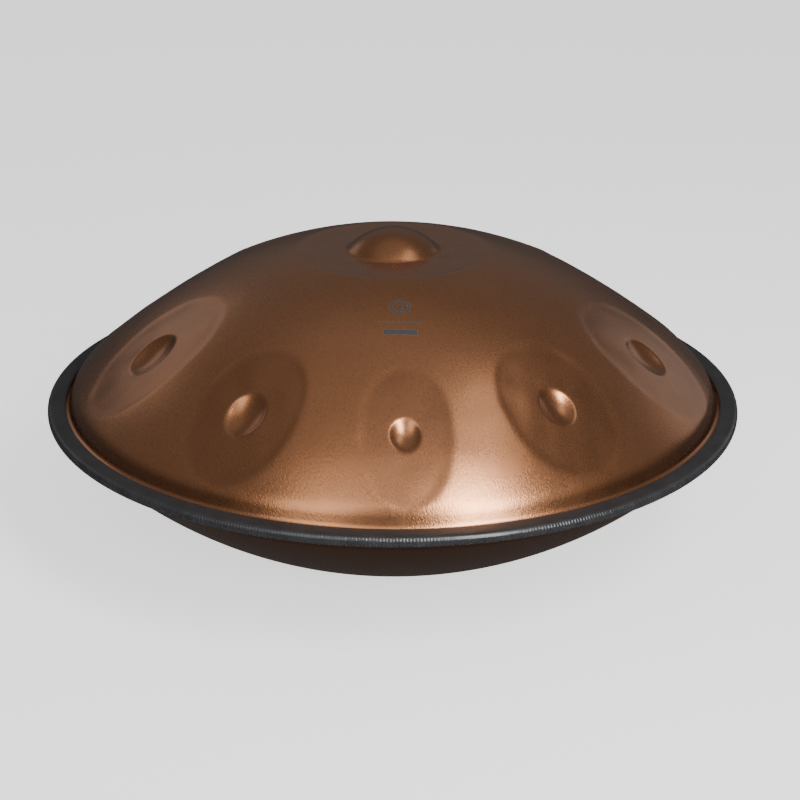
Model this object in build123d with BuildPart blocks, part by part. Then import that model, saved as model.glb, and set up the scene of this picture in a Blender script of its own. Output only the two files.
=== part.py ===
from build123d import *
import os
from math import asin, cos, radians, sin, sqrt, tan

# A handpan: two domed steel shells glued flange to flange, with a rubber guard around the rim.
# Millimetres. +Z is up and -Y is the front. The origin is under the middle, on the resting plane.

# Overall sizes
rim_diameter = 530.0          # over the rubber guard
rim_height = 112.0            # joint between the shells above the resting plane
sheet = 1.2                   # steel sheet of both shells
dome_rise = 121.5             # joint to the top of the undented dome
shoulder_bend = 18.5          # outside radius of the bend between dome and side wall
shoulder_reach = 228.5        # centre of that bend from the axis
shoulder_rise = 4.5           # and above the joint
wall_lean = 15.0              # side wall, degrees from upright

# Rim: two flanges glued together and pressed into the groove of the guard
glue_thickness = 0.5
glue_inner_radius = 250.5
flange_radius = 261.5
flange_bend = 3.5             # outside radius of the bend between side wall and flange
guard_inner_radius = 251.5
guard_height = 8.0
guard_outer_round = 3.5
guard_inner_round = 1.2
groove_clearance = 0.3        # between the flanges' edge and the bottom of the groove
guard_gap = 0.8               # where the two ends of the guard meet, at the back

# Ding, the centre note: a flattened round field with a raised dome in its middle
ding_field_radius = 72.0
ding_dome_radius = 35.5
ding_dome_height = 16.0
ding_lip = 0.6                # how far the edge of its field is sunk

# Tone fields: shallow sunk ovals with a nearly flat floor and a dimple in the middle
floor_curve = 450.0           # radius of curvature of the floor
field_lip = 0.7               # how far the edge of a field is sunk where that is least
field_foot_bend = 3.0         # bend between a field's side and its floor
dimple_slope = 0.30           # a dimple's depth as a share of its radius
# Each field: degrees round from the front, distance from the axis, half length, half width
# and dimple radius
tone_fields = [
    (2.3, 206, 54, 32, 10.5),
    (34, 200, 54, 42, 12.5),
    (69, 199, 60, 47, 15.5),
    (113, 192, 66, 51, 17),
    (158, 188, 71, 55, 19),
    (-156, 187, 74, 56, 20),
    (-110, 190, 69, 53, 18.5),
    (-65, 193, 62, 45, 17),
    (-29.3, 203, 55, 40, 14.2),
]

# Port in the bottom shell: its lip is rolled inwards from a flattened ring, which is the rest
port_radius = 50.0
port_lip_bend = 9.0           # outside radius of the rolled lip
port_neck_height = 21.0       # resting plane to the inner end of the neck

# The dome is part of a sphere that runs smoothly into the shoulder bend. Rises are above the joint.
dome_climb = dome_rise - shoulder_rise
dome_radius = (shoulder_reach**2 + dome_climb**2 - shoulder_bend**2) / (
    2 * (dome_climb - shoulder_bend)
)
dome_centre = dome_rise - dome_radius
dome_tilt = asin(shoulder_reach / (dome_radius - shoulder_bend))
flange_face = glue_thickness / 2
wall_tilt = radians(90 - wall_lean)
bend_rise = flange_face + sheet + flange_bend
wall_height = shoulder_rise - bend_rise + (shoulder_bend + flange_bend) * cos(wall_tilt)
bend_reach = (
    shoulder_reach + (shoulder_bend + flange_bend) * sin(wall_tilt) + wall_height / tan(wall_tilt)
)


def on_dome(tilt, inset):
    """Point of the dome as distance from the axis and rise, inset towards the inside."""
    radius = dome_radius - inset
    return (radius * sin(tilt), dome_centre + radius * cos(tilt))


def on_shoulder(tilt, inset):
    """Point of the bend between dome and side wall."""
    bend = shoulder_bend - inset
    return (shoulder_reach + bend * sin(tilt), shoulder_rise + bend * cos(tilt))


def on_flange_bend(tilt, inset):
    """Point of the bend between side wall and flange."""
    bend = flange_bend + inset
    return (bend_reach - bend * sin(tilt), bend_rise - bend * cos(tilt))


def draw_shell_line(first_tilt, inset, place):
    """Dome, shoulder, side wall and flange bend, from a tilt on the dome outwards."""
    ThreePointArc(
        place(on_dome(first_tilt, inset)),
        place(on_dome((first_tilt + dome_tilt) / 2, inset)),
        place(on_dome(dome_tilt, inset)),
    )
    ThreePointArc(
        place(on_shoulder(dome_tilt, inset)),
        place(on_shoulder((dome_tilt + wall_tilt) / 2, inset)),
        place(on_shoulder(wall_tilt, inset)),
    )
    Line(place(on_shoulder(wall_tilt, inset)), place(on_flange_bend(wall_tilt, inset)))
    ThreePointArc(
        place(on_flange_bend(wall_tilt, inset)),
        place(on_flange_bend(wall_tilt / 2, inset)),
        place(on_flange_bend(0, inset)),
    )


def above_joint(point):
    """The top shell's place for a distance from the axis and a rise."""
    return (point[0], rim_height + point[1])


def below_joint(point):
    """The bottom shell's place for a distance from the axis and a rise."""
    return (point[0], rim_height - point[1])


def field_plane(turn, reach):
    """Plane touching the dome at a field's centre, with X round the dome and Y up it."""
    tilt = asin(reach / dome_radius)
    angle = radians(turn)
    outwards = Vector(sin(tilt) * sin(angle), -sin(tilt) * cos(angle), cos(tilt))
    around = Vector(cos(angle), sin(angle), 0)
    centre = Vector(0, 0, rim_height + dome_centre) + outwards * dome_radius
    return Plane(origin=centre, x_dir=around, z_dir=outwards)


def field_hollow(field, inset):
    """The space that one tone field takes out of the dome, or out of its inside if inset."""
    turn, reach, half_length, half_width, dimple_radius = field
    plane = field_plane(turn, reach)
    sink = field_lip + half_length**2 / 2 * (1 / dome_radius - 1 / floor_curve)
    dimple_depth = dimple_radius * dimple_slope
    dimple_ball = (dimple_radius**2 + dimple_depth**2) / (2 * dimple_depth)
    with BuildPart() as hollow:
        with BuildSketch(plane.offset(-4 * sink)):
            Ellipse(half_width + inset, half_length + inset)
        extrude(amount=8 * sink)
        with Locations(plane.offset(-sink - floor_curve).location):
            Sphere(floor_curve - inset, mode=Mode.SUBTRACT)
        fillet(hollow.faces().filter_by(GeomType.SPHERE).edges(), field_foot_bend + inset)
        with Locations(plane.offset(dimple_ball - dimple_depth - sink).location):
            Sphere(dimple_ball + inset)
    return hollow.part


def dome_form(inset):
    """The solid space under the top shell's outside face, or under its inside face if inset."""
    field_rise = sqrt(dome_radius**2 - ding_field_radius**2) + dome_centre - ding_lip - inset
    ding_ball = (ding_dome_radius**2 + ding_dome_height**2) / (2 * ding_dome_height)
    ding_centre = field_rise + inset + ding_dome_height - ding_ball
    top = (0, rim_height + dome_rise - inset)
    with BuildPart() as form:
        with BuildSketch(Plane.XZ):
            with BuildLine():
                draw_shell_line(0, inset, above_joint)
                flange_end = above_joint(on_flange_bend(0, inset))
                Polyline(flange_end, (0, flange_end[1]), top)
            make_face()
        revolve(axis=Axis.Z)
        with BuildSketch(Plane.XY.offset(rim_height + field_rise)):
            Circle(ding_field_radius + inset)
        extrude(amount=dome_rise - field_rise, mode=Mode.SUBTRACT)
        with Locations((0, 0, rim_height + ding_centre)):
            Sphere(ding_ball - inset)
        for field in tone_fields:
            add(field_hollow(field, inset), mode=Mode.SUBTRACT)
    return form.part


def make_top_shell():
    """Hammered dome with the ding and the tone fields, ending in a flat flange."""
    with BuildPart() as shell:
        add(dome_form(0))
        with BuildSketch(Plane.XY.offset(rim_height + flange_face)):
            Circle(flange_radius)
        extrude(amount=sheet)
        add(dome_form(sheet), mode=Mode.SUBTRACT)
    return shell.part


def make_bottom_shell():
    """Plain dome with a flattened resting ring and a rolled port, made from one bent line."""
    rest_tilt = asin(sqrt(dome_radius**2 - (rim_height - dome_centre) ** 2) / dome_radius)
    flange_edge = below_joint((flange_radius, flange_face + sheet))
    roll_reach = port_radius + port_lip_bend
    with BuildPart() as shell:
        with BuildSketch(Plane.XZ):
            with BuildLine():
                Line(flange_edge, below_joint(on_flange_bend(0, 0)))
                draw_shell_line(rest_tilt, 0, below_joint)
                Line(below_joint(on_dome(rest_tilt, 0)), (roll_reach, 0))
                RadiusArc((roll_reach, 0), (port_radius, port_lip_bend), port_lip_bend)
                Line((port_radius, port_lip_bend), (port_radius, port_neck_height))
                offset(amount=sheet, side=Side.RIGHT)
            make_face()
        revolve(axis=Axis.Z)
    return shell.part


def make_glue_bead():
    """Thin ring of adhesive that joins the two flanges."""
    with BuildPart() as bead:
        with BuildSketch(Plane.XY.offset(rim_height - flange_face)):
            Circle(flange_radius)
            Circle(glue_inner_radius, mode=Mode.SUBTRACT)
        extrude(amount=glue_thickness)
    return bead.part


def make_rim_guard():
    """Rubber edging pushed over both flanges, with a groove that grips them."""
    rim_radius = rim_diameter / 2
    groove_radius = flange_radius + groove_clearance
    with BuildPart() as guard:
        with BuildSketch(Plane.XZ) as section:
            with Locations((guard_inner_radius, rim_height)):
                Rectangle(rim_radius - guard_inner_radius, guard_height, align=(Align.MIN, Align.CENTER))
            fillet(section.vertices().group_by(Axis.X)[-1], guard_outer_round)
            fillet(section.vertices().group_by(Axis.X)[0], guard_inner_round)
            with Locations((guard_inner_radius, rim_height)):
                Rectangle(
                    groove_radius - guard_inner_radius,
                    2 * (flange_face + sheet),
                    align=(Align.MIN, Align.CENTER),
                    mode=Mode.SUBTRACT,
                )
        revolve(axis=Axis.Z)
        with Locations((0, rim_radius, rim_height)):
            Box(guard_gap, rim_radius, 2 * guard_height, mode=Mode.SUBTRACT)
    return guard.part


os.makedirs("parts", exist_ok=True)
pieces = {
    "top_shell": make_top_shell(),
    "bottom_shell": make_bottom_shell(),
    "glue_bead": make_glue_bead(),
    "rim_guard": make_rim_guard(),
}
for name, piece in pieces.items():
    piece.label = name
    export_step(piece, f"parts/{name}.step")
    print(name, round(piece.volume), "mm3")
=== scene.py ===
from math import asin, cos, pi, radians, sin, sqrt, tan

import bpy
import numpy as np
from mathutils import Matrix, Vector


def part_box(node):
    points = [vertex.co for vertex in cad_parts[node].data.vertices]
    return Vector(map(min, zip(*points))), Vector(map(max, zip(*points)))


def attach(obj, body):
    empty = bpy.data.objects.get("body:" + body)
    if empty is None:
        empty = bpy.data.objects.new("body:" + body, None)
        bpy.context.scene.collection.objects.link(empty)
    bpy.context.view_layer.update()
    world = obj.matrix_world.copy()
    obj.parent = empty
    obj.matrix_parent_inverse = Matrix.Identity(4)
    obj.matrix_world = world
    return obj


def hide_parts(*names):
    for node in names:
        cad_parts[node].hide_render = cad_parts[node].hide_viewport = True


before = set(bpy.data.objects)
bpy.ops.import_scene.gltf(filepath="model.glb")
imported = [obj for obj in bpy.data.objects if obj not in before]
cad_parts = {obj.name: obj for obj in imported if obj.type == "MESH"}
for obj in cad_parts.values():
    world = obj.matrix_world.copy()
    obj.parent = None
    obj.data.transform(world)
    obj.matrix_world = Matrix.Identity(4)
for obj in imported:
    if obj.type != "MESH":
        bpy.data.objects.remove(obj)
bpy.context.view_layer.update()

# ---------------------------------------------------------------- sizes in metres, as in the CAD
guard_low, guard_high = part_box("rim_guard")
joint_z = (guard_low.z + guard_high.z) / 2       # joint between the two shells
rim_radius = 0.265
sheet = 0.0012
dome_rise = 0.1215
shoulder_bend = 0.0185
shoulder_reach = 0.2285
shoulder_rise = 0.0045
wall_tilt = radians(75)
flange_face = 0.00025
flange_radius = 0.2615
flange_bend = 0.0035
guard_inner_radius = 0.2515
guard_height = 0.008
guard_outer_round = 0.0035
guard_inner_round = 0.0012
groove_radius = 0.2618
guard_gap = 0.0008
rib_pitch = 0.0022                               # of the fine ribs on the guard's bulge

ding_field_radius = 0.072
ding_dome_radius = 0.0355
ding_dome_height = 0.016
ding_lip = 0.0006

floor_curve = 0.450                              # radius of curvature of a field's floor
field_lip = 0.0007                               # how far a field's edge is sunk where that is least
edge_round = 0.00008                             # rounding of a field's edge, as depth
edge_step = 0.00032                              # small step just inside a field's edge
edge_width = 0.006                               # and the width that step is spread over
dimple_length = 1.2                              # a dimple's length over its width
dimple_slope = 0.30                              # its depth over its radius
dimple_round = 0.00025                           # rounding of its edge, as depth
ding_foot_round = 0.0004                         # rounding of the centre dome's foot, as height
dome_unevenness = 0.00003                        # height of the hammered ripples on the dome
field_unevenness = 0.00009                       # and how much higher they are on the fields
outline_power = 2.1                              # of the fields' outlines; 2 would be an ellipse
other_side = -0.03                               # points this far under a field's plane aren't in it
ripple_seed, ripple_count = 3, 60
ripple_lengths = (0.018, 0.045)
# degrees round from the front, distance from the axis, half length, half width, dimple radius
tone_fields = [
    (2.3, 0.206, 0.054, 0.032, 0.0105),
    (34, 0.200, 0.054, 0.042, 0.0125),
    (69, 0.199, 0.060, 0.047, 0.0155),
    (113, 0.192, 0.066, 0.051, 0.017),
    (158, 0.188, 0.071, 0.055, 0.019),
    (-156, 0.187, 0.074, 0.056, 0.020),
    (-110, 0.190, 0.069, 0.053, 0.0185),
    (-65, 0.193, 0.062, 0.045, 0.017),
    (-29.3, 0.203, 0.055, 0.040, 0.0142),
]

port_radius = 0.050
port_lip_bend = 0.009
port_neck_height = 0.021

dome_climb = dome_rise - shoulder_rise
dome_radius = (shoulder_reach**2 + dome_climb**2 - shoulder_bend**2) / (2 * (dome_climb - shoulder_bend))
dome_centre = dome_rise - dome_radius
dome_tilt = asin(shoulder_reach / (dome_radius - shoulder_bend))
bend_rise = flange_face + sheet + flange_bend
wall_height = shoulder_rise - bend_rise + (shoulder_bend + flange_bend) * cos(wall_tilt)
bend_reach = shoulder_reach + (shoulder_bend + flange_bend) * sin(wall_tilt) + wall_height / tan(wall_tilt)
rest_tilt = asin(sqrt(dome_radius**2 - (joint_z - dome_centre) ** 2) / dome_radius)


# ---------------------------------------------------------------- mesh tools
def smooth_step(low, high, value):
    """0 at low, 1 at high, smooth between. high may be the smaller one."""
    share = np.clip((value - low) / (high - low), 0, 1)
    return share * share * (3 - 2 * share)


def soft_max(value, blend):
    """The larger of value and 0, rounded off over about blend."""
    return 0.5 * (value + np.sqrt(value**2 + blend**2))


def crowd(low, high, count, weight):
    """count places from low to high, closer together where weight is large."""
    fine = np.linspace(low, high, 20001)
    heavy = weight(fine)
    total = np.concatenate(([0], np.cumsum((heavy[1:] + heavy[:-1]) / 2)))
    return np.interp(np.linspace(0, total[-1], count), total, fine)


def ripples(points, seed, count, shortest, longest):
    """Gentle unevenness of hammered sheet: waves in all directions, about 1 high in all."""
    chance = np.random.default_rng(seed)
    total = np.zeros(len(points))
    for _ in range(count):
        direction = chance.normal(size=3)
        direction /= np.linalg.norm(direction)
        length = chance.uniform(shortest, longest)
        total += np.sin(points @ direction * 2 * pi / length + chance.uniform(0, 2 * pi))
    return total / sqrt(count)


def turned_rings(profile, angles):
    """One ring of points round the axis for each (distance, height) of a profile."""
    return [
        np.stack((reach * np.sin(angles), -reach * np.cos(angles), np.full(len(angles), height)), 1)
        for reach, height in profile
    ]


def ring_faces(start_a, count_a, start_b, count_b):
    """Faces between two rings of vertices. The larger count is a multiple of the smaller."""
    if count_a < count_b:
        return [face[::-1] for face in ring_faces(start_b, count_b, start_a, count_a)]
    share = count_a // count_b
    return [
        [start_b + i, start_b + (i + 1) % count_b]
        + [start_a + (i * share + k) % count_a for k in range(share, -1, -1)]
        for i in range(count_b)
    ]


def smooth_piece(name, vertices, faces):
    """A smooth-shaded object in the scene, from its points and faces."""
    mesh = bpy.data.meshes.new(name)
    mesh.from_pydata(vertices.tolist(), [], faces)
    mesh.update()
    mesh.shade_smooth()
    piece = bpy.data.objects.new(name, mesh)
    bpy.context.scene.collection.objects.link(piece)
    return piece


def ring_mesh(name, rings, poles=None, loop=False):
    """A surface through rings of points, closed by a point at each end or by joining its ends."""
    counts = [len(ring) for ring in rings]
    starts = [sum(counts[:i]) for i in range(len(counts))]
    pairs = [(i, i + 1) for i in range(len(rings) - 1)] + ([(len(rings) - 1, 0)] if loop else [])
    faces = []
    for a, b in pairs:
        faces += ring_faces(starts[a], counts[a], starts[b], counts[b])
    vertices = np.concatenate(rings + ([np.array(poles)] if poles is not None else []))
    if poles is not None:
        first, last = sum(counts), sum(counts) + 1
        faces += [[first, i, (i + 1) % counts[0]] for i in range(counts[0])]
        end = starts[-1]
        faces += [[last, end + (i + 1) % counts[-1], end + i] for i in range(counts[-1])]
    return smooth_piece(name, vertices, faces)


def strip_mesh(name, section, angles):
    """A closed section carried round the axis from the first angle to the last, with flat ends."""
    rings = np.stack(turned_rings(section, angles), 1)
    count = len(section)
    faces = [
        [start + j, start + (j + 1) % count, start + count + (j + 1) % count, start + count + j]
        for start in range(0, (len(angles) - 1) * count, count)
        for j in range(count)
    ]
    last = (len(angles) - 1) * count
    faces += [list(range(count - 1, -1, -1)), [last + j for j in range(count)]]
    piece = smooth_piece(name, rings.reshape(-1, 3), faces)
    for face in piece.data.polygons[-2:]:
        face.use_smooth = False
    return piece


def store(piece, name, values):
    """Keeps one number for each vertex, for the piece's material to read."""
    attribute = piece.data.attributes.new(name, "FLOAT", "POINT")
    attribute.data.foreach_set("value", np.asarray(values, np.float32))


def vertex_normals(piece):
    normals = np.zeros(len(piece.data.vertices) * 3)
    piece.data.vertices.foreach_get("normal", normals)
    return normals.reshape(-1, 3)


# ---------------------------------------------------------------- top shell
outline_ends = np.cumsum([
    dome_radius * dome_tilt,
    shoulder_bend * (wall_tilt - dome_tilt),
    wall_height / sin(wall_tilt),
    flange_bend * wall_tilt,
    flange_radius - bend_reach,
])


def dome_outline(path):
    """Distance from the axis and rise above the joint, a length along the outside from the top."""
    steps = np.diff(np.minimum(path, outline_ends), prepend=0)
    tilt = steps[0] / dome_radius
    reach, rise = dome_radius * sin(tilt), dome_centre + dome_radius * cos(tilt)
    tilt = dome_tilt + steps[1] / shoulder_bend
    reach += shoulder_bend * (sin(tilt) - sin(dome_tilt))
    rise += shoulder_bend * (cos(tilt) - cos(dome_tilt))
    reach += steps[2] * cos(wall_tilt)
    rise -= steps[2] * sin(wall_tilt)
    tilt = wall_tilt - steps[3] / flange_bend
    reach += flange_bend * (sin(wall_tilt) - sin(tilt))
    rise -= flange_bend * (cos(tilt) - cos(wall_tilt))
    return reach + steps[4], rise


def field_axes(turn, reach):
    """Centre of a tone field on the undented dome, and its directions round, up and out of it."""
    tilt = asin(reach / dome_radius)
    angle = radians(turn)
    out = np.array((sin(tilt) * sin(angle), -sin(tilt) * cos(angle), cos(tilt)))
    around = np.array((cos(angle), sin(angle), 0))
    centre = np.array((0, 0, joint_z + dome_centre)) + out * dome_radius
    return centre, around, np.cross(out, around), out


def press(points):
    """Moves points of the undented dome onto the hammered one.

    Also says how smoothed each is, as on all fields, and how much each is darkened by painted shade,
    as on the tone fields and the centre dome, standing in for their darker reflections.
    """
    reach = np.hypot(points[:, 0], points[:, 1])
    smoothed = smooth_step(ding_field_radius + 0.007, ding_field_radius - 0.006, reach)
    field_rise = sqrt(dome_radius**2 - ding_field_radius**2) + dome_centre - ding_lip
    flat = joint_z + field_rise
    ball = (ding_dome_radius**2 + ding_dome_height**2) / (2 * ding_dome_height)
    bump = np.sqrt(np.maximum(ball**2 - reach**2, 0)) - (ball - ding_dome_height)
    moved = points.copy()
    moved[:, 2] += (flat - points[:, 2]) * smoothed
    moved[:, 2] += soft_max(bump, ding_foot_round) * (reach < 0.060)
    # Mask for painted shade: the centre dome's colour is darkened to stand in for its darker reflection
    painted_field_shade = smooth_step(ding_dome_radius + 0.001, ding_dome_radius - 0.002, reach)
    for turn, distance, half_length, half_width, dimple in tone_fields:
        centre, around, up, out = field_axes(turn, distance)
        local = points - centre
        u, v, w = local @ around, local @ up, local @ out
        far = np.hypot(u, v)
        oval = (np.abs(u) / half_width) ** outline_power + (np.abs(v) / half_length) ** outline_power
        oval = oval ** (1 / outline_power)
        near = w > other_side
        inward = far * (1 / np.maximum(oval, 0.05) - 1) * near - ~near
        sink = field_lip + half_length**2 / 2 * (1 / dome_radius - 1 / floor_curve)
        drop = soft_max((sink - edge_step) * (1 - oval**2), edge_round) * near * (oval < 1.6)
        drop += edge_step * smooth_step(-0.001, edge_width, inward)
        deep = dimple * dimple_slope
        bowl = (dimple**2 + deep**2) / (2 * deep)
        spread = np.hypot(u, v / dimple_length)
        hollow = np.sqrt(np.maximum(bowl**2 - spread**2, 0)) - (bowl - deep)
        drop += soft_max(hollow, dimple_round) * (spread < 2 * dimple) * near
        moved -= drop[:, None] * out
        smoothed = np.maximum(smoothed, smooth_step(-0.001, 0.003, inward))
        # The same painted-shade mask covers each tone field, whose colour is darkened for its darker
        # reflection
        painted_field_shade = np.maximum(painted_field_shade, smooth_step(-0.001, 0.003, inward))
    return moved, smoothed, painted_field_shade


def near_dimples(angle):
    """Extra weight for angles round the axis where a dimple lies."""
    total = np.ones_like(angle)
    for turn, distance, _, _, dimple in tone_fields:
        off = np.abs((angle - radians(turn) + pi) % (2 * pi) - pi) * distance / dimple
        total += 1.4 * smooth_step(1.5, 1.1, off)
    return total


def band(path, low, high, soft):
    return smooth_step(low - soft, low, path) * smooth_step(high + soft, high, path)


def outline_weight(path):
    """Extra weight for rings near the ding's foot and edge, the dimples and the rim."""
    return (
        1
        + 1.2 * band(path, 0.029, 0.042, 0.004)
        + 0.6 * band(path, 0.064, 0.080, 0.004)
        + 1.4 * band(path, 0.180, 0.235, 0.008)
        + 2.5 * band(path, outline_ends[1] - 0.006, outline_ends[3] + 0.001, 0.004)
    )


def build_top_shell():
    angles = crowd(-pi, pi, 721, near_dimples)[:-1]
    rings = []
    for path in crowd(0, outline_ends[-1], 140, outline_weight)[1:]:
        # Fewer points round the small rings near the top
        share = 15 if path < 0.012 else 3 if path < 0.054 else 1
        reach, rise = dome_outline(path)
        rings += turned_rings([(reach, joint_z + rise)], angles[::share])
    counts = [len(ring) for ring in rings]
    pole = np.array([[0, 0, joint_z + dome_rise]])
    moved, smoothed, painted_field_shade = press(np.concatenate(rings + [pole]))
    reach = np.hypot(moved[:, 0], moved[:, 1])
    unevenness = (dome_unevenness + field_unevenness * smoothed) * smooth_step(0.245, 0.236, reach)
    moved[:, 2] += unevenness * ripples(moved, ripple_seed, ripple_count, *ripple_lengths)
    starts = np.cumsum(counts)[:-1]
    outer_rings = np.split(moved[:-1], starts)
    outer = ring_mesh("scratch", outer_rings, [moved[-1], moved[-1]])
    normals = vertex_normals(outer)
    bpy.data.objects.remove(outer)
    inner_points = np.split(moved[:-1] - sheet * normals[: len(moved) - 1], starts)
    # The inside is never seen close, so it keeps every third ring and every fourth point of those
    inner_rings = [ring[::4] for ring in inner_points[::-1][::3]]
    poles = [moved[-1], moved[-1] - (0, 0, sheet)]
    piece = ring_mesh("hammered_top_shell", outer_rings + inner_rings, poles)
    # The second number is the painted-shade mask that darkens the fields' colour
    for name, outside in (("smoothed", smoothed), ("painted_field_shade", painted_field_shade)):
        values = np.zeros(len(piece.data.vertices))
        values[: len(outside) - 1] = outside[:-1]
        values[-2] = outside[-1]
        store(piece, name, values)
    return piece


# ---------------------------------------------------------------- profiles of the other pieces
def arc(centre, radius, first, last, step=0.0008):
    """Points of a circle. Angles in degrees from straight up, growing away from the axis."""
    count = max(3, round(abs(radians(last - first)) * radius / step))
    angles = np.radians(np.linspace(first, last, count + 1))
    return [(centre[0] + radius * sin(a), centre[1] + radius * cos(a)) for a in angles]


def run(start, end, step):
    """Points of a straight line."""
    count = max(1, round(sqrt((end[0] - start[0]) ** 2 + (end[1] - start[1]) ** 2) / step))
    return [tuple(np.add(start, np.subtract(end, start) * i / count)) for i in range(count + 1)]


def below(point):
    return (point[0], joint_z - point[1])


def dedupe(points):
    """Drops points that repeat the one before."""
    kept = [points[0]]
    for point in points[1:]:
        if np.hypot(point[0] - kept[-1][0], point[1] - kept[-1][1]) > 1e-6:
            kept.append(point)
    return np.array(kept)


def inset_profile(points, amount):
    """The profile moved sideways, to the inside of the sheet."""
    along = np.gradient(points, axis=0)
    along /= np.linalg.norm(along, axis=1)[:, None]
    return points + amount * np.stack((along[:, 1], -along[:, 0]), 1)


def build_bottom_shell():
    roll = (port_radius + port_lip_bend, port_lip_bend)
    rest = (dome_radius * sin(rest_tilt), 0.0)
    face = joint_z - flange_face - sheet
    lean, tilt, end = np.degrees((wall_tilt, dome_tilt, rest_tilt))
    line = arc((bend_reach, bend_rise), flange_bend, 180, 180 + lean)
    line += arc((shoulder_reach, shoulder_rise), shoulder_bend, lean, tilt, 0.0015)
    line += arc((0, dome_centre), dome_radius, tilt, end, 0.003)
    skin = run((flange_radius, face), (bend_reach, face), 0.003) + [below(point) for point in line]
    skin += run(rest, (roll[0], 0), 0.002)
    skin += arc(roll, port_lip_bend, 180, 270, 0.0008)
    skin += run((port_radius, port_lip_bend), (port_radius, port_neck_height), 0.002)
    outside = dedupe(skin)
    inside = inset_profile(outside, sheet)
    angles = np.linspace(-pi, pi, 361)[:-1]
    rings = turned_rings(outside, angles) + turned_rings(inside[::-1][::2], angles)
    return ring_mesh("formed_bottom_shell", rings, loop=True)


def build_rim_guard():
    low, high = joint_z - guard_height / 2, joint_z + guard_height / 2
    grip = flange_face + sheet
    bulge, lip = rim_radius - guard_outer_round, guard_inner_radius + guard_inner_round
    section = run((lip, high), (bulge, high), 0.002)
    section += arc((bulge, high - guard_outer_round), guard_outer_round, 0, 90, 0.0005)
    section += arc((bulge, low + guard_outer_round), guard_outer_round, 90, 180, 0.0005)
    section += run((bulge, low), (lip, low), 0.002)
    section += arc((lip, low + guard_inner_round), guard_inner_round, 180, 270, 0.0004)
    section += run((guard_inner_radius, joint_z - grip), (groove_radius, joint_z - grip), 0.004)
    section += run((groove_radius, joint_z + grip), (guard_inner_radius, joint_z + grip), 0.004)
    section += arc((lip, high - guard_inner_round), guard_inner_round, 270, 360, 0.0004)
    profile = dedupe(section)
    if np.hypot(*(profile[0] - profile[-1])) < 1e-6:
        profile = profile[:-1]
    half_gap = guard_gap / 2 / rim_radius
    return strip_mesh("moulded_rim_guard", profile, np.linspace(-pi + half_gap, pi - half_gap, 721))


# ---------------------------------------------------------------- materials
bronze_brown, bronze_light = (0.60, 0.235, 0.085, 1), (0.66, 0.275, 0.115, 1)
bronze_dull, grain_brown = (0.50, 0.195, 0.080, 1), (0.36, 0.135, 0.055, 1)
# Painted shade: the darker brown laid on the tone fields and centre dome in place of their darker
# reflections
painted_shade_brown = (0.34, 0.125, 0.045, 1)
print_grey = (0.055, 0.052, 0.055, 1)
rubber_black, rubber_grey = (0.016, 0.016, 0.018, 1), (0.026, 0.026, 0.028, 1)
glue_dark, glue_light = (0.06, 0.05, 0.04, 1), (0.12, 0.10, 0.08, 1)
floor_grey, floor_light = (0.82, 0.82, 0.82, 1), (0.84, 0.84, 0.84, 1)
grain_turn = radians(-60)                        # direction of the sheet's grain
grain_size = (0.0050, 0.0010, 0.0016)            # along, across and through the sheet
grain_depth = 0.00008
guard_texture_depth = 0.00030                    # depth of the guard's ribs and specks


class Nodes:
    """Short ways to add and link the nodes of one material."""

    def __init__(self, name):
        self.material = bpy.data.materials.new(name)
        self.material.use_nodes = True
        self.tree = self.material.node_tree
        self.shader = next(n for n in self.tree.nodes if n.type == "BSDF_PRINCIPLED")
        self.place = self.add("ShaderNodeTexCoord").outputs["Object"]

    def add(self, kind, inputs=None, **settings):
        node = self.tree.nodes.new(kind)
        for key, value in settings.items():
            setattr(node, key, value)
        for key, value in (inputs or {}).items():
            if isinstance(value, bpy.types.NodeSocket):
                self.tree.links.new(value, node.inputs[key])
            else:
                node.inputs[key].default_value = value
        return node

    def math(self, operation, a, b=0.0):
        return self.add("ShaderNodeMath", {0: a, 1: b}, operation=operation).outputs[0]

    def noise(self, scale, detail=3.0, roughness=0.5, place=None):
        sizes = {"Vector": place or self.place, "Scale": scale, "Detail": detail, "Roughness": roughness}
        return self.add("ShaderNodeTexNoise", sizes).outputs["Fac"]

    def ramp(self, value, low, high, from_low=0.0, from_high=1.0):
        """Maps values between from_low and from_high to low and high, and holds those beyond."""
        limits = {"From Min": from_low, "From Max": from_high, "To Min": low, "To Max": high}
        return self.add("ShaderNodeMapRange", {"Value": value, **limits}).outputs["Result"]

    def blend(self, share, first, second):
        node = self.add("ShaderNodeMix", data_type="RGBA")
        for index, value in ((0, share), (6, first), (7, second)):
            if isinstance(value, bpy.types.NodeSocket):
                self.tree.links.new(value, node.inputs[index])
            else:
                node.inputs[index].default_value = value
        return node.outputs[2]

    def bump(self, height, distance):
        sizes = {"Height": height, "Distance": distance, "Strength": 1.0}
        return self.add("ShaderNodeBump", sizes).outputs["Normal"]

    def connect(self, **sockets):
        for name, value in sockets.items():
            target = self.shader.inputs[name.replace("_", " ")]
            if isinstance(value, bpy.types.NodeSocket):
                self.tree.links.new(value, target)
            else:
                target.default_value = value


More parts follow.
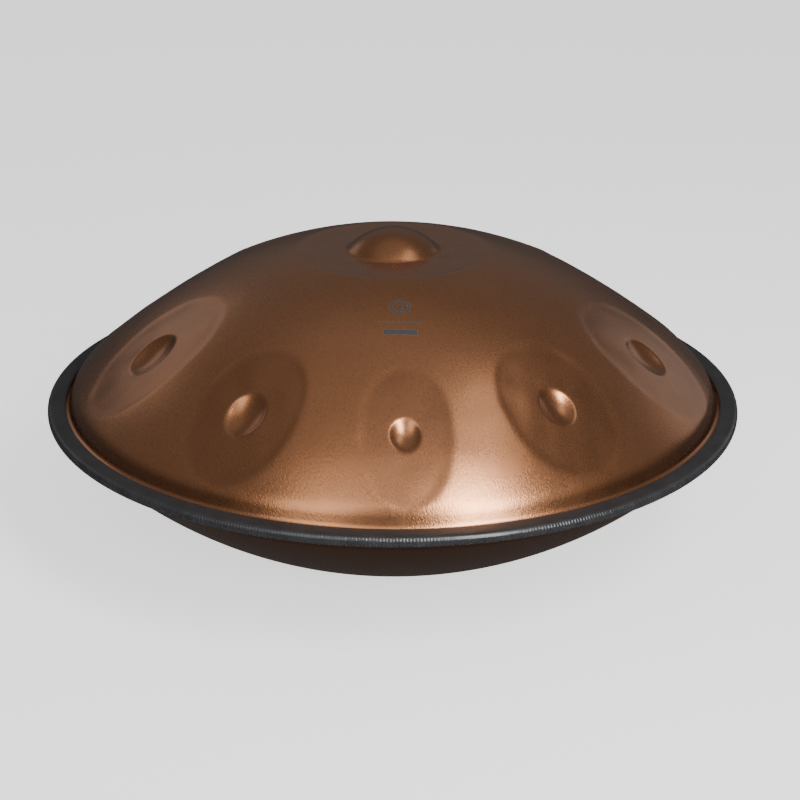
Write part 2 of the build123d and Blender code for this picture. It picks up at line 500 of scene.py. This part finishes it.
def printed_mark(n):
    """A plain ring and dot above a line and a bar, printed on the dome: 1 where there is print."""
    x, y, _ = n.add("ShaderNodeSeparateXYZ", {0: n.place}).outputs
    aside = n.math("SUBTRACT", x, mark_x)
    across = n.math("ABSOLUTE", aside)

    def within(value, limit):
        return n.ramp(value, 1, 0, limit - mark_blur / 2, limit + mark_blur / 2)

    def bar(place_y, half_width, half_height):
        up = n.math("ABSOLUTE", n.math("SUBTRACT", y, place_y))
        return n.math("MULTIPLY", within(across, half_width), within(up, half_height))

    away = n.math("SUBTRACT", y, mark_ring_y)
    far = n.math("SQRT", n.math("ADD", n.math("MULTIPLY", aside, aside), n.math("MULTIPLY", away, away)))
    ring = within(n.math("ABSOLUTE", n.math("SUBTRACT", far, mark_ring_radius)), mark_ring_half_width)
    total = n.math("MAXIMUM", ring, within(far, mark_dot_radius))
    total = n.math("MAXIMUM", total, bar(*mark_line))
    return n.math("MAXIMUM", total, bar(*mark_bar))


def bronze_material(name, marked):
    n = Nodes(name)
    smoothed = n.add("ShaderNodeAttribute", attribute_name="smoothed").outputs["Fac"]
    painted_field_shade = n.add("ShaderNodeAttribute", attribute_name="painted_field_shade").outputs["Fac"]
    rolled = n.add(
        "ShaderNodeMapping",
        {"Vector": n.place, "Rotation": (0, 0, grain_turn), "Scale": grain_size},
        vector_type="TEXTURE",
    ).outputs["Vector"]
    grain = n.noise(1.0, 1.0, 0.5, rolled)
    cloud = n.noise(9.0, 3.0, 0.6)
    patch = n.noise(34.0, 4.0, 0.6)
    tint = n.blend(n.ramp(cloud, 0, 1, 0.35, 0.65), bronze_brown, bronze_light)
    tint = n.blend(n.ramp(patch, 0, 0.4, 0.42, 0.72), tint, bronze_dull)
    tint = n.blend(n.ramp(grain, 0.20, 0, 0.32, 0.50), tint, grain_brown)
    # Painted shade: the tone fields and centre dome are darkened to stand in for their darker reflections
    tint = n.blend(n.ramp(painted_field_shade, 0, 0.42), tint, painted_shade_brown)
    height = n.math("MULTIPLY", grain, n.ramp(smoothed, 1.0, 0.35))
    roughness = n.math("ADD", n.ramp(patch, 0.24, 0.30, 0.3, 0.7), n.ramp(grain, -0.03, 0.04))
    metallic = 1.0
    if marked:
        mark = printed_mark(n)
        tint = n.blend(mark, tint, print_grey)
        roughness = n.math("ADD", roughness, n.math("MULTIPLY", mark, 0.12))
        metallic = n.ramp(mark, 1.0, 0.25)
    n.connect(
        Base_Color=tint,
        Metallic=metallic,
        Roughness=roughness,
        Normal=n.bump(height, grain_depth),
        Coat_Weight=0.9,
        Coat_Roughness=0.28,
    )
    return n.material


def rubber_material():
    n = Nodes("guard_rubber")
    x, y, z = n.add("ShaderNodeSeparateXYZ", {0: n.place}).outputs
    turn = n.math("ARCTAN2", x, y)
    reach = n.math("SQRT", n.math("ADD", n.math("MULTIPLY", x, x), n.math("MULTIPLY", y, y)))
    round_it = n.math("MULTIPLY", turn, rim_radius)
    line = n.add("ShaderNodeCombineXYZ", {0: round_it, 1: n.math("MULTIPLY", z, 0.25), 2: 0.0}).outputs[0]
    wave = n.math("SINE", n.math("MULTIPLY", round_it, 2 * pi / rib_pitch))
    ribs = n.math("ADD", n.math("MULTIPLY", wave, 0.30), n.noise(420.0, 2.0, 0.6, line))
    bulge = n.ramp(reach, 0, 1, rim_radius - guard_outer_round, rim_radius - 0.001)
    speck = n.noise(1400.0, 2.0)
    patch = n.noise(60.0, 3.0)
    height = n.math("ADD", n.math("MULTIPLY", ribs, bulge), n.math("MULTIPLY", speck, 0.25))
    n.connect(
        Base_Color=n.blend(n.ramp(patch, 0, 1, 0.3, 0.7), rubber_black, rubber_grey),
        Roughness=n.math("SUBTRACT", n.ramp(patch, 0.50, 0.58, 0.3, 0.7), n.math("MULTIPLY", bulge, 0.28)),
        Specular_IOR_Level=0.55,
        Coat_Weight=n.math("MULTIPLY", bulge, 0.7),
        Coat_Roughness=0.22,
        Normal=n.bump(height, guard_texture_depth),
    )
    return n.material


def adhesive_material():
    n = Nodes("adhesive")
    speck = n.noise(300.0, 3.0)
    n.connect(
        Base_Color=n.blend(speck, glue_dark, glue_light),
        Roughness=n.ramp(speck, 0.35, 0.55),
        Normal=n.bump(speck, 0.0002),
    )
    return n.material


mark_x = 0.0048
mark_ring_y, mark_ring_radius, mark_ring_half_width = -0.107, 0.0064, 0.0011
mark_dot_radius = 0.0024
mark_blur = 0.0004                               # width over which the print's edge fades
mark_line = (-0.1225, 0.0150, 0.0006)            # place, half width and half height
mark_bar = (-0.1320, 0.0118, 0.0024)
bronze = bronze_material("bronzed_steel", True)
plain_bronze = bronze_material("bronzed_steel_below", False)
rubber = rubber_material()
adhesive = adhesive_material()

for build, node, material in (
    (build_top_shell, "top_shell", bronze),
    (build_bottom_shell, "bottom_shell", plain_bronze),
    (build_rim_guard, "rim_guard", rubber),
):
    piece = build()
    piece.data.materials.append(material)
    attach(piece, "root")
    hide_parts(node)

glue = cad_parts["glue_bead"]
glue.data.materials.clear()
glue.data.materials.append(adhesive)

# ---------------------------------------------------------------- floor, lights and camera
floor_size = 80.0                                # reaches past the picture's edge in low views
bpy.ops.mesh.primitive_plane_add(size=floor_size, location=(0, 0, 0))
floor = bpy.context.object
floor.name = "floor"
floor_nodes = Nodes("pale_floor")
floor_tone = floor_nodes.noise(2.0, 2.0)
floor_nodes.connect(
    Base_Color=floor_nodes.blend(floor_tone, floor_grey, floor_light),
    Roughness=0.7,
    Emission_Color=(1, 1, 1, 1),
    Emission_Strength=1.2,
)
floor.data.materials.append(floor_nodes.material)
floor.visible_glossy = False


def soft_box(name, turn, height, distance, width, tall, glow, lean=0.0):
    """A rectangular light facing the instrument. turn is degrees round from the front, glow its radiance."""
    aim = Vector((0, 0, joint_z))
    a, b = radians(turn), radians(height)
    offset = Vector((sin(a) * cos(b), -cos(a) * cos(b), sin(b)))
    light = bpy.data.lights.new(name, "AREA")
    light.shape = "RECTANGLE"
    light.size, light.size_y = width, tall
    light.spread = radians(150)
    light.energy = glow * pi * width * tall
    lamp = bpy.data.objects.new(name, light)
    lamp.location = aim + offset * distance
    facing = offset.to_track_quat("Z", "Y").to_matrix() @ Matrix.Rotation(radians(lean), 3, "Z")
    lamp.rotation_euler = facing.to_euler()
    bpy.context.scene.collection.objects.link(lamp)


soft_box("front_right_box", 28, 29, 1.9, 0.48, 2.05, 11.0, -5)
soft_box("front_left_box", -24, 29, 1.9, 0.76, 1.90, 1.3)
soft_box("front_strip", 0, 64, 1.9, 1.60, 0.16, 0.6)
soft_box("right_top_box", 78, 67, 2.2, 0.90, 0.55, 0.65)
soft_box("right_side_box", 128, 14, 2.2, 1.10, 0.80, 0.19)
soft_box("left_side_box", -132, 27, 2.2, 1.10, 0.60, 0.20)

world = bpy.data.worlds.new("studio")
bpy.context.scene.world = world
world.use_nodes = True
tree = world.node_tree
background = tree.nodes["Background"]
direction = tree.nodes.new("ShaderNodeTexCoord")
split = tree.nodes.new("ShaderNodeSeparateXYZ")
tree.links.new(direction.outputs["Generated"], split.inputs[0])
fade = tree.nodes.new("ShaderNodeValToRGB")
fade.color_ramp.interpolation = "LINEAR"
heights_and_tones = ((0.0, 0.05), (0.12, 0.08), (0.35, 0.14), (0.80, 0.16), (0.90, 0.26), (1.0, 0.30))
while len(fade.color_ramp.elements) < len(heights_and_tones):
    fade.color_ramp.elements.new(0.5)
for stop, (height, tone) in zip(fade.color_ramp.elements, heights_and_tones):
    stop.position = height
    stop.color = (tone, tone, tone, 1)
tree.links.new(split.outputs["Z"], fade.inputs[0])
tree.links.new(fade.outputs[0], background.inputs["Color"])
background.inputs["Strength"].default_value = 1.0

# Camera: 1.27 m from the middle of the rim and 22 degrees above it, turned a little off centre
elevation = radians(21.86)
distance = 1.272
focal = 73.11
aside, lower = 0.0055, 0.0096
roll = radians(0.34)
toward = Vector((0, cos(elevation), -sin(elevation)))
upward = Vector((0, sin(elevation), cos(elevation)))
eye = Vector((0, 0, joint_z)) - toward * distance
aim = Vector((0, 0, joint_z)) + Vector((1, 0, 0)) * aside - upward * lower
look = (aim - eye).normalized()
right = look.cross(Vector((0, 0, 1))).normalized()
up = right.cross(look)
camera_data = bpy.data.cameras.new("camera")
camera_data.lens = focal
camera_data.sensor_width = 36.0
camera = bpy.data.objects.new("camera", camera_data)
basis = Matrix((right, up, -look)).transposed()
camera.matrix_world = Matrix.Translation(eye) @ (basis @ Matrix.Rotation(roll, 3, "Z")).to_4x4()
bpy.context.scene.collection.objects.link(camera)
bpy.context.scene.camera = camera
view = bpy.context.scene.view_settings
view.view_transform = "AgX"
view.look = "None"
view.exposure = 0.0
